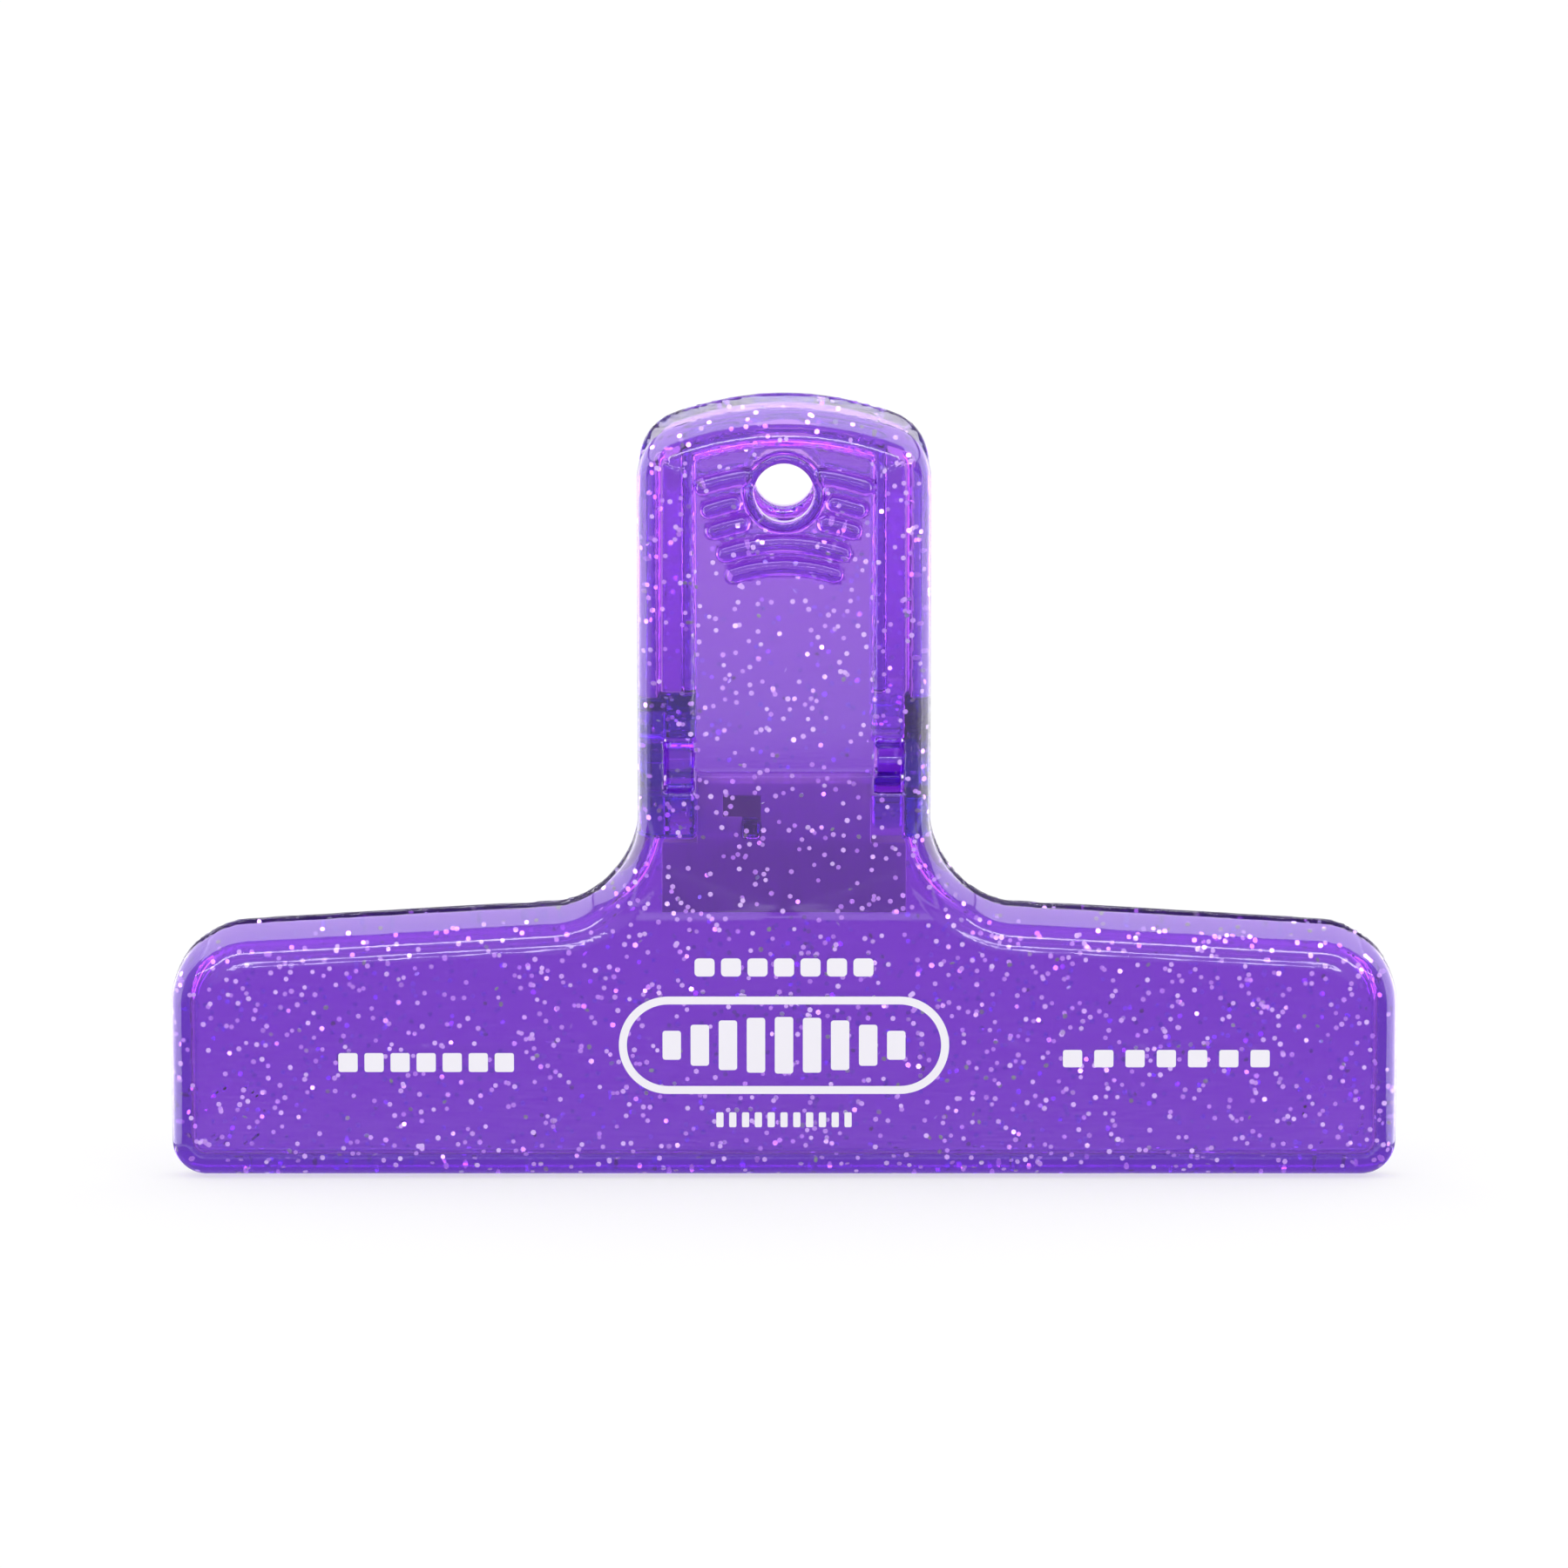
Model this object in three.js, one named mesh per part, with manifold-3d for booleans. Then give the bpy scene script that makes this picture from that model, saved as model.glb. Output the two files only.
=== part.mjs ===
// A wide paper clip that hangs on a hook. Two identical translucent jaws, each one moulding
// with its handle, turn on stubs that snap into open sockets. A steel leaf spring sits
// between them in the neck and keeps the lips shut.
//
// Millimetres, +Z up. X runs along the jaws and Y from front to rear. The origin is in the
// middle, under the closed lips. Every shape is made for the front jaw, which lies at Y < 0.
// The rear jaw is the same moulding turned half a turn about Z.
import * as THREE from 'three';
import { mergeVertices } from 'three/addons/utils/BufferGeometryUtils.js';
import Module from 'manifold-3d';

const wasm = await Module();
wasm.setup();

const degrees = Math.PI / 180;

// Outline of one jaw, seen from the front
const JAW_WIDTH = 153;
const LOWER_CORNER_RADIUS = 4.3;
const UPPER_CORNER_RADIUS = 9.5;
const WING_TOP = { x: 30, z: 33.6 }; // a point on the sloping top edge of the wing
const WING_SLOPE = 3.2 * degrees;
const NECK_FILLET_RADIUS = 10.9;
const HANDLE_WIDTH = 36.4;
const HANDLE_CORNER_RADIUS = 4;
const HANDLE_TOP_RADIUS = 40.2;
const GRIP_CENTRE_Z = 56.5; // the top edge and the grip bars are arcs about this height
const OUTLINE_STEPS = 5; // half the chords in each arc

// Side profile: the outer face is two flat planes that meet at a crease across the neck
const CREASE_Z = 33.3;
const CREASE_Y = -5.9;
const JAW_LEAN = 4 * degrees;
const HANDLE_LEAN = 8 * degrees;
const FACE_THICKNESS = 2;
const RIM_THICKNESS = 2.6;
const EDGE_ROUND = 2.4;
// The lower edge is lowest where its rounding ends, and that line lies at Z = 0
const JAW_BOTTOM_Z = -EDGE_ROUND * Math.sin(JAW_LEAN);
const SLAB_DEPTH = 24; // deep enough to pass the middle plane anywhere

// Free edge of the rim, from the lip to the tip of the handle
const LIP_GAP = 0.2; // from the lip to the middle plane
const LIP_HEIGHT = 3;
const RIM_DEPTH = 3.4; // from the outer face, from the crease upwards
const TIP_Z = 99;

// Pivot: a stub on the thin ear turns in the open socket of the thick ear
const PIVOT_Z = 52.1;
const EAR_BOTTOM_Z = 43.2;
const EAR_TOP_Z = 62;
const EAR_RADIUS = 4.5;
const EAR_HEEL_Y = -2.8; // where the lower edge turns up to the round end
const STUB_EAR = { from: 15, to: 17.2 }; // in +X
const SOCKET_EAR = { from: -14.6, to: -11.2 };
const SOCKET_ROOT = { from: -16.9, to: -11.2 }; // the thick ear is wider where it meets the face
const ROOT_GAP = 3; // from the wide part of the ear to the middle plane
const STUB_RADIUS = 2;
const STUB_END_X = 11.6;
const SOCKET_RADIUS = 2.35;
const SNAP_OPENING = 3.4;
const EAR_CLEARANCE = 0.5;

// Windows in the face in front of each stub and socket
const WINDOW = { fromX: 11.2, toX: 14.9, bottomZ: 48.6, topZ: 55.6, endY: -4 };

// Hook inside the neck: its stem fills the narrow part of the slot in the spring's arm, and
// its head, which passes through the wide part, keeps the arm from leaving the jaw
const HOOK_Z = { bottomZ: 43, topZ: 45.1 };
const HOOK_STEM = { fromX: -5, toX: -3.1 };
const HOOK_HEAD = { fromX: -7.2, toX: -3.1, outerY: -2.4, innerY: -1.4 };

// Thumb recess with its grip bars and the ring round the hanging hole
const RECESS = { halfWidth: 11.25, bottomZ: 51.2, topRadius: 35.8, depth: 0.6 };
const GRIP_BAR_WIDTH = 2.1;
const GRIP_BARS = [
  { radius: 21.7, fromX: 0, toX: 7.3 },
  { radius: 24.5, fromX: 0, toX: 8.3 },
  { radius: 27.6, fromX: 4.2, toX: 9.6 },
  { radius: 30.3, fromX: 5.2, toX: 10.3 },
  { radius: 33.3, fromX: 3.7, toX: 11.1 },
];
const HOLE_Z = 86.5;
const HOLE_RADIUS = 3.7;
const RING_RADIUS = 4.9;
const RING_DEPTH = 6;

// Stiffening ribs inside the handle
const RIB = { fromX: 11.2, toX: 12.5, bottomZ: 61.1, topZ: 91.4, depth: 1.4 };
const ARC_RIB = { radius: 37, thickness: 1 };

// Leaf spring
const SPRING_THICKNESS = 0.6;
const SPRING_BEND_RADIUS = 1.5;
const SPRING_BEND_Z = 48.4;
const SPRING_ARM_LEAN = 22.8 * degrees; // of the upper part of each arm, towards the bend
const SPRING_KNEE = { y: 3.9, z: 43 };
const SPRING_FOOT = { y: 3.4, z: 33.4 };
const SPRING_BEND_WIDTH = 21.6;
const SPRING_FOOT_WIDTH = 30.4;
const SPRING_SHOULDER_Z = 42;
// An L-shaped slot is punched in each arm: a wide part with a narrow part below it
const SLOT_WIDE = { fromX: -7.6, toX: -2.9, bottomZ: 45.3, topZ: 47.7 };
const SLOT_NARROW = { fromX: -5.2, toX: -2.9, bottomZ: 42.8, topZ: 45.4 };

// ---------------------------------------------------------------- solids

function toSolid(geometry) {
  geometry.deleteAttribute('normal');
  geometry.deleteAttribute('uv');
  const merged = mergeVertices(geometry);
  return new wasm.Manifold(new wasm.Mesh({
    numProp: 3,
    vertProperties: Float32Array.from(merged.attributes.position.array),
    triVerts: Uint32Array.from(merged.index.array),
  }));
}

function toGeometry(solid) {
  const mesh = solid.getMesh();
  const geometry = new THREE.BufferGeometry();
  geometry.setAttribute('position', new THREE.BufferAttribute(mesh.vertProperties, 3));
  geometry.setIndex(new THREE.BufferAttribute(mesh.triVerts, 1));
  geometry.computeVertexNormals();
  return geometry;
}

function union(solids) {
  return solids.reduce((sum, next) => sum.add(next));
}

function box(fromX, toX, fromY, toY, fromZ, toZ) {
  const geometry = new THREE.BoxGeometry(toX - fromX, toY - fromY, toZ - fromZ);
  geometry.translate((fromX + toX) / 2, (fromY + toY) / 2, (fromZ + toZ) / 2);
  return toSolid(geometry);
}

// A cylinder along X about the pivot axis.
function roundPivot(radius, fromX, toX) {
  const geometry = new THREE.CylinderGeometry(radius, radius, toX - fromX, 24);
  geometry.rotateZ(Math.PI / 2);
  geometry.translate((fromX + toX) / 2, 0, PIVOT_Z);
  return toSolid(geometry);
}

// A cylinder along Y about the hanging hole's axis.
function roundHole(radius, fromY, toY) {
  const geometry = new THREE.CylinderGeometry(radius, radius, toY - fromY, 32);
  geometry.translate(0, (fromY + toY) / 2, HOLE_Z);
  return toSolid(geometry);
}

// Extrudes a shape drawn in (Y, Z) along X.
function alongX(shape, fromX, toX) {
  const geometry = new THREE.ExtrudeGeometry(shape, {
    depth: toX - fromX, bevelEnabled: false, curveSegments: 6,
  });
  const turned = new THREE.Matrix4().makeBasis(
    new THREE.Vector3(0, 1, 0), new THREE.Vector3(0, 0, 1), new THREE.Vector3(1, 0, 0),
  );
  geometry.applyMatrix4(turned);
  geometry.translate(fromX, 0, 0);
  return toSolid(geometry);
}

// Extrudes a shape drawn in (X, Z) between two levels of a face that leans outward from the
// crease. Level 0 is the face, and a negative level lies inside the moulding.
function onFace(shape, lean, innerLevel, outerLevel, bevel = 0) {
  const geometry = new THREE.ExtrudeGeometry(shape, {
    depth: outerLevel - innerLevel - 2 * bevel,
    bevelEnabled: bevel > 0,
    bevelThickness: bevel,
    bevelSize: bevel,
    bevelOffset: -bevel,
    bevelSegments: 3,
    curveSegments: OUTLINE_STEPS,
  });
  geometry.translate(0, -CREASE_Z, innerLevel + bevel);
  geometry.scale(1, 1 / Math.cos(lean), 1);
  geometry.rotateX(Math.PI / 2 + lean);
  geometry.translate(0, CREASE_Y, CREASE_Z);
  return toSolid(geometry);
}

// ---------------------------------------------------------------- outlines

function pointOnWingTop(x, inset) {
  const z = WING_TOP.z - (x - WING_TOP.x) * Math.tan(WING_SLOPE) - inset / Math.cos(WING_SLOPE);
  return new THREE.Vector2(x, z);
}

// Runs a line to a polygon's corner and round it on an arc.
function roundCorner(shape, before, corner, after, radius) {
  const toBefore = before.clone().sub(corner).normalize();
  const toAfter = after.clone().sub(corner).normalize();
  const halfAngle = Math.acos(toBefore.dot(toAfter)) / 2;
  const start = corner.clone().addScaledVector(toBefore, radius / Math.tan(halfAngle));
  const end = corner.clone().addScaledVector(toAfter, radius / Math.tan(halfAngle));
  const centre = toBefore.clone().add(toAfter).setLength(radius / Math.sin(halfAngle)).add(corner);
  const startAngle = start.clone().sub(centre).angle();
  const endAngle = end.clone().sub(centre).angle();
  const clockwise = toBefore.cross(toAfter) > 0;
  shape.lineTo(start.x, start.y);
  shape.absarc(centre.x, centre.y, radius, startAngle, endAngle, clockwise);
}

// The jaw's T outline, drawn in by an inset.
function jawOutline(inset) {
  const jawSide = JAW_WIDTH / 2 - inset;
  const handleSide = HANDLE_WIDTH / 2 - inset;
  const topRadius = HANDLE_TOP_RADIUS - inset;
  const cornerRadius = HANDLE_CORNER_RADIUS - inset;
  const mirrored = (point) => new THREE.Vector2(-point.x, point.y);

  const middle = new THREE.Vector2(0, JAW_BOTTOM_Z + inset);
  const low = new THREE.Vector2(jawSide, JAW_BOTTOM_Z + inset);
  const high = pointOnWingTop(jawSide, inset);
  const neck = pointOnWingTop(handleSide, inset);
  const top = new THREE.Vector2(handleSide, HANDLE_TOP_RADIUS);

  const cornerX = handleSide - cornerRadius;
  const cornerRise = Math.sqrt((topRadius - cornerRadius) ** 2 - cornerX ** 2);
  const cornerAngle = Math.atan2(cornerRise, cornerX);
  const cornerZ = GRIP_CENTRE_Z + cornerRise;

  const shape = new THREE.Shape();
  shape.moveTo(middle.x, middle.y);
  roundCorner(shape, middle, low, high, LOWER_CORNER_RADIUS - inset);
  roundCorner(shape, low, high, neck, UPPER_CORNER_RADIUS - inset);
  roundCorner(shape, high, neck, top, NECK_FILLET_RADIUS + inset);
  shape.lineTo(handleSide, cornerZ);
  shape.absarc(cornerX, cornerZ, cornerRadius, 0, cornerAngle, false);
  shape.absarc(0, GRIP_CENTRE_Z, topRadius, cornerAngle, Math.PI - cornerAngle, false);
  shape.absarc(-cornerX, cornerZ, cornerRadius, Math.PI - cornerAngle, Math.PI, false);
  roundCorner(shape, mirrored(top), mirrored(neck), mirrored(high), NECK_FILLET_RADIUS + inset);
  roundCorner(shape, mirrored(neck), mirrored(high), mirrored(low), UPPER_CORNER_RADIUS - inset);
  roundCorner(shape, mirrored(high), mirrored(low), middle, LOWER_CORNER_RADIUS - inset);
  return shape;
}

// The outer face's place in Y at a height on the handle.
function handleFaceY(z) {
  return CREASE_Y - (z - CREASE_Z) * Math.tan(HANDLE_LEAN);
}

// Everything on the front jaw's side of its rim's free edge, in (Y, Z).
function rimOutline() {
  const shape = new THREE.Shape();
  shape.moveTo(-SLAB_DEPTH, -1);
  shape.lineTo(-LIP_GAP, -1);
  shape.lineTo(-LIP_GAP, LIP_HEIGHT);
  shape.lineTo(CREASE_Y + RIM_DEPTH, CREASE_Z);
  shape.lineTo(handleFaceY(TIP_Z) + RIM_DEPTH, TIP_Z);
  shape.lineTo(-SLAB_DEPTH, TIP_Z);
  return shape;
}

// A hinge ear in (Y, Z): rooted halfway in the face, with a round end about the pivot.
function earOutline() {
  const halfThickness = FACE_THICKNESS / 2;
  const roundFrom = 70 * degrees;
  const shape = new THREE.Shape();
  shape.moveTo(handleFaceY(EAR_TOP_Z) + halfThickness, EAR_TOP_Z);
  shape.lineTo(handleFaceY(EAR_BOTTOM_Z) + halfThickness, EAR_BOTTOM_Z);
  shape.lineTo(EAR_HEEL_Y, EAR_BOTTOM_Z);
  shape.absarc(0, PIVOT_Z, EAR_RADIUS, -roundFrom, roundFrom, false);
  return shape;
}

// A band between two radii about the grip's centre, in (X, Z).
function arcBand(outerRadius, innerRadius, fromX, toX) {
  const startAngle = Math.acos(toX / outerRadius);
  const endAngle = Math.acos(fromX / outerRadius);
  const shape = new THREE.Shape();
  shape.absarc(0, GRIP_CENTRE_Z, outerRadius, startAngle, endAngle, false);
  shape.absarc(0, GRIP_CENTRE_Z, innerRadius, endAngle, startAngle, true);
  return shape;
}

// A grip bar with round ends, in (X, Z).
function gripBarOutline(radius, fromX, toX) {
  const endRadius = GRIP_BAR_WIDTH / 2;
  const middleRadius = radius - endRadius;
  const startAngle = Math.acos((toX - endRadius) / middleRadius);
  const endAngle = Math.acos((fromX + endRadius) / middleRadius);
  const endCentre = (angle) => [
    middleRadius * Math.cos(angle), GRIP_CENTRE_Z + middleRadius * Math.sin(angle),
  ];
  const shape = new THREE.Shape();
  shape.absarc(0, GRIP_CENTRE_Z, radius, startAngle, endAngle, false);
  shape.absarc(...endCentre(endAngle), endRadius, endAngle, endAngle + Math.PI, false);
  shape.absarc(0, GRIP_CENTRE_Z, radius - GRIP_BAR_WIDTH, endAngle, startAngle, true);
  shape.absarc(...endCentre(startAngle), endRadius, startAngle + Math.PI, startAngle + 2 * Math.PI, false);
  return shape;
}

// ---------------------------------------------------------------- jaw

// The hollow moulding before its details: face and rim.
function jawShell() {
  const outer = jawOutline(0);
  const inner = jawOutline(RIM_THICKNESS);
  const filled = union([JAW_LEAN, HANDLE_LEAN].map(
    (lean) => onFace(outer, lean, -SLAB_DEPTH, 0, EDGE_ROUND),
  ));
  const hollow = union([JAW_LEAN, HANDLE_LEAN].map(
    (lean) => onFace(inner, lean, -SLAB_DEPTH - 1, -FACE_THICKNESS),
  ));
  return { filled, hollow };
}

function recess() {
  const topAngle = Math.acos(RECESS.halfWidth / RECESS.topRadius);
  const shape = new THREE.Shape();
  shape.moveTo(-RECESS.halfWidth, RECESS.bottomZ);
  shape.lineTo(RECESS.halfWidth, RECESS.bottomZ);
  shape.absarc(0, GRIP_CENTRE_Z, RECESS.topRadius, topAngle, Math.PI - topAngle, false);
  return onFace(shape, HANDLE_LEAN, -RECESS.depth, 1);
}

function gripBars() {
  const bars = [];
  for (const { radius, fromX, toX } of GRIP_BARS) {
    const spans = fromX === 0 ? [[-toX, toX]] : [[fromX, toX], [-toX, -fromX]];
    for (const [from, to] of spans) {
      bars.push(onFace(gripBarOutline(radius, from, to), HANDLE_LEAN, -FACE_THICKNESS + 0.5, 0));
    }
  }
  return union(bars);
}

function handleRibs() {
  const innerLevel = -FACE_THICKNESS - RIB.depth;
  const outerLevel = -FACE_THICKNESS + 0.5;
  const ribs = [-1, 1].map((side) => {
    const shape = new THREE.Shape();
    shape.moveTo(side * RIB.fromX, RIB.bottomZ);
    shape.lineTo(side * RIB.toX, RIB.bottomZ);
    shape.lineTo(side * RIB.toX, RIB.topZ);
    shape.lineTo(side * RIB.fromX, RIB.topZ);
    return onFace(shape, HANDLE_LEAN, innerLevel, outerLevel);
  });
  const arc = arcBand(ARC_RIB.radius, ARC_RIB.radius - ARC_RIB.thickness, -RIB.toX, RIB.toX);
  return union([...ribs, onFace(arc, HANDLE_LEAN, innerLevel, outerLevel)]);
}

function windows() {
  return union([-1, 1].map((side) => box(
    Math.min(side * WINDOW.fromX, side * WINDOW.toX),
    Math.max(side * WINDOW.fromX, side * WINDOW.toX),
    -SLAB_DEPTH, WINDOW.endY, WINDOW.bottomZ, WINDOW.topZ,
  )));
}

function hook() {
  const rootY = handleFaceY(HOOK_Z.bottomZ) + FACE_THICKNESS - 1;
  const stem = box(
    HOOK_STEM.fromX, HOOK_STEM.toX, rootY, HOOK_HEAD.innerY, HOOK_Z.bottomZ, HOOK_Z.topZ,
  );
  const head = box(
    HOOK_HEAD.fromX, HOOK_HEAD.toX, HOOK_HEAD.outerY, HOOK_HEAD.innerY, HOOK_Z.bottomZ, HOOK_Z.topZ,
  );
  return stem.add(head);
}

// Opens the thick ear towards the other jaw, so that the stub snaps in.
function socket() {
  const fromX = SOCKET_EAR.from - 0.2;
  const toX = SOCKET_EAR.to + 0.2;
  const opening = box(
    fromX, toX, 0, EAR_RADIUS + 1, PIVOT_Z - SNAP_OPENING / 2, PIVOT_Z + SNAP_OPENING / 2,
  );
  return roundPivot(SOCKET_RADIUS, fromX, toX).add(opening);
}

// Room in the rim for the round end of the other jaw's thin ear.
function earRoom() {
  return roundPivot(EAR_RADIUS + EAR_CLEARANCE, -HANDLE_WIDTH / 2 - 1, SOCKET_EAR.from - 0.1);
}

function jaw() {
  const { filled, hollow } = jawShell();
  const rim = alongX(rimOutline(), -JAW_WIDTH, JAW_WIDTH);
  const ear = earOutline();
  const ring = roundHole(RING_RADIUS, handleFaceY(HOLE_Z) - 2, handleFaceY(HOLE_Z) + RING_DEPTH);
  const root = alongX(ear, SOCKET_ROOT.from, SOCKET_ROOT.to).intersect(box(
    -HANDLE_WIDTH, HANDLE_WIDTH, -SLAB_DEPTH, -ROOT_GAP, 0, TIP_Z,
  ));
  const face = filled.subtract(hollow).intersect(rim).subtract(recess());
  const added = union([
    gripBars(), handleRibs().intersect(rim), ring.intersect(filled), root,
  ]);
  return face.add(added)
    .subtract(earRoom())
    .add(alongX(ear, STUB_EAR.from, STUB_EAR.to))
    .add(roundPivot(STUB_RADIUS, STUB_END_X, STUB_EAR.to))
    .add(alongX(ear, SOCKET_EAR.from, SOCKET_EAR.to))
    .add(hook())
    .subtract(socket())
    .subtract(windows())
    .subtract(roundHole(HOLE_RADIUS, -SLAB_DEPTH, 0));
}

// ---------------------------------------------------------------- spring

// The bent strip in (Y, Z): two arms that lean in from their knees to a tight bend.
function springOutline() {
  const half = SPRING_THICKNESS / 2;
  const outerRadius = SPRING_BEND_RADIUS + half;
  const innerRadius = SPRING_BEND_RADIUS - half;
  const start = SPRING_ARM_LEAN;
  const end = Math.PI - start;
  const shape = new THREE.Shape();
  shape.moveTo(SPRING_FOOT.y - half, SPRING_FOOT.z);
  shape.lineTo(SPRING_FOOT.y + half, SPRING_FOOT.z);
  shape.lineTo(SPRING_KNEE.y + half, SPRING_KNEE.z);
  shape.absarc(0, SPRING_BEND_Z, outerRadius, start, end, false);
  shape.lineTo(-SPRING_KNEE.y - half, SPRING_KNEE.z);
  shape.lineTo(-SPRING_FOOT.y - half, SPRING_FOOT.z);
  shape.lineTo(-SPRING_FOOT.y + half, SPRING_FOOT.z);
  shape.lineTo(-SPRING_KNEE.y + half, SPRING_KNEE.z);
  shape.absarc(0, SPRING_BEND_Z, innerRadius, end, start, true);
  shape.lineTo(SPRING_KNEE.y - half, SPRING_KNEE.z);
  return shape;
}

function spring() {
  const strip = alongX(springOutline(), -SPRING_FOOT_WIDTH / 2, SPRING_FOOT_WIDTH / 2);
  const shoulders = [-1, 1].map((side) => box(
    Math.min(side * SPRING_BEND_WIDTH / 2, side * SPRING_FOOT_WIDTH),
    Math.max(side * SPRING_BEND_WIDTH / 2, side * SPRING_FOOT_WIDTH),
    -SLAB_DEPTH, SLAB_DEPTH, SPRING_SHOULDER_Z, SPRING_SHOULDER_Z + SLAB_DEPTH,
  ));
  const slots = [];
  for (const { fromX, toX, bottomZ, topZ } of [SLOT_WIDE, SLOT_NARROW]) {
    slots.push(box(fromX, toX, -SLAB_DEPTH, -1, bottomZ, topZ));
    slots.push(box(-toX, -fromX, 1, SLAB_DEPTH, bottomZ, topZ));
  }
  return strip.subtract(union([...shoulders, ...slots]));
}

// ---------------------------------------------------------------- assembly

const clearPurple = new THREE.MeshStandardMaterial({
  color: '#834ecf', roughness: 0.15, metalness: 0, transparent: true, opacity: 0.8,
});
const springSteel = new THREE.MeshStandardMaterial({
  color: '#a9a9ae', roughness: 0.35, metalness: 1,
});

const jawGeometry = toGeometry(jaw());

const frontJaw = new THREE.Mesh(jawGeometry, clearPurple.clone());
frontJaw.name = 'front_jaw';

const rearJaw = new THREE.Mesh(jawGeometry.clone(), clearPurple.clone());
rearJaw.name = 'rear_jaw';
rearJaw.rotation.z = Math.PI;

const leafSpring = new THREE.Mesh(toGeometry(spring()), springSteel);
leafSpring.name = 'leaf_spring';

const clip = new THREE.Group();
clip.name = 'paper_clip';
clip.add(frontJaw, rearJaw, leafSpring);

export default clip;
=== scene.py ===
"""A wide spring paper clip in clear purple plastic full of silver glitter.

The jaws are rebuilt as fine meshes from one distance field, so that every edge, rib and grip
bar has its moulded rounding. Lengths inside the field are in millimetres in the frame's axes:
X along the jaws, Y from front to rear, Z up. Everything is made for the front jaw; the rear
jaw is the same moulding turned half a turn about Z.
"""

import math
import bpy
import numpy as np
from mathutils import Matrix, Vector


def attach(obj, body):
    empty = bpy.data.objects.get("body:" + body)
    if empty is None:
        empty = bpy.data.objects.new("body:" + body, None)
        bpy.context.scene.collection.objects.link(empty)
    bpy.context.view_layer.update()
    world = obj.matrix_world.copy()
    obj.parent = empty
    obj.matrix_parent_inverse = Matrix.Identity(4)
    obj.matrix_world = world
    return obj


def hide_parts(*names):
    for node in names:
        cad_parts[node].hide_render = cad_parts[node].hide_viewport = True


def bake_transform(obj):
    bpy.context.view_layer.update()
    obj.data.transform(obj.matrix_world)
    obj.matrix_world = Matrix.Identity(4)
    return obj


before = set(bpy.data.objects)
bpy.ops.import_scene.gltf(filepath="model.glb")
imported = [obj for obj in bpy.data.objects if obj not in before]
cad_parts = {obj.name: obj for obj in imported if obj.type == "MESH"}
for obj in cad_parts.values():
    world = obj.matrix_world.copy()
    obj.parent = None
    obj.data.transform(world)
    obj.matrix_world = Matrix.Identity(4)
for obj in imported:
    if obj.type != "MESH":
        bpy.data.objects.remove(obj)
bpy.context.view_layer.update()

MM = 0.001

# Outline of one jaw, seen from the front
JAW_WIDTH = 153.0
LOWER_CORNER = 4.3
UPPER_CORNER = 9.5
WING_TOP_X, WING_TOP_Z = 30.0, 33.6
WING_SLOPE = math.radians(3.2)
NECK_FILLET = 10.9
HANDLE_WIDTH = 36.4
HANDLE_CORNER = 4.0
HANDLE_TOP_RADIUS = 40.2
GRIP_CENTRE_Z = 56.5

# Side profile
CREASE_Y, CREASE_Z = -5.9, 33.3
CREASE_FILL = 0.07  # the planes are so close to level that a little fill goes far
JAW_LEAN = math.radians(4)
HANDLE_LEAN = math.radians(8)
FACE_THICKNESS = 2.0
RIM_THICKNESS = 2.6
EDGE_ROUND = 2.4
JAW_BOTTOM_Z = -EDGE_ROUND * math.sin(JAW_LEAN)
INNER_ROUND = 0.8
FINE, SMALL, SOFT = 0.2, 0.25, 0.3  # rounds of small edges

# The edges that face up: a broad round that meets the face in a soft ridge
TOP_EDGE_ROUND = 6.8
TOP_EDGE_RAISE = 0.33  # the broad round is drawn to a plane this far above the face
TOP_EDGE_SHIFT = 0.75  # and starts this far outside the outline
TOP_EDGE_WIDTH = 3.9
TOP_RIDGE_ROUND = 1.0
TOP_INNER_ROUND = 2.2
TOP_OUTER_ROUND = 0.3  # where the broad round meets the side
TOP_EDGE_FADE = (0.3, 2.0)  # how far inside the broad round its ridge fades out
UP_REACH, UP_LIMITS = 0.5, (0.35, 0.95)  # how the outline's slope is read, and turned to a share

# Free edge of the rim
LIP_GAP = 0.2  # from the lip to the middle plane
LIP_HEIGHT = 3.0
RIM_DEPTH = 3.4  # from the outer face, from the crease upwards
RIM_ROUND = 0.35

# Pivot
PIVOT_Z = 52.1
EAR_BOTTOM_Z, EAR_TOP_Z = 43.2, 62.0
EAR_RADIUS = 4.5
EAR_HEEL_Y = -2.8
EAR_WEB_Y = 1.5  # how far the web reaches into the round end
EAR_FLANK_END = (1.54, 4.23)  # where a flank meets the round end, measured from the pivot
STUB_EAR = (15.0, 17.2)
SOCKET_EAR = (-14.6, -11.2)
SOCKET_ROOT = (-16.9, -11.2)
ROOT_GAP = 3.0
STUB_RADIUS = 2.0
STUB_END_X = 11.6
SOCKET_RADIUS = 2.35
SNAP_OPENING = 3.4
EAR_CLEARANCE = 0.5
WINDOW_X, WINDOW_Z, WINDOW_END_Y = (11.2, 14.9), (48.6, 55.6), -4.0
HOOK_Z = (43.0, 45.1)
HOOK_STEM_X, HOOK_HEAD_X, HOOK_HEAD_Y = (-5.0, -3.1), (-7.2, -3.1), (-2.4, -1.4)

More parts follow.
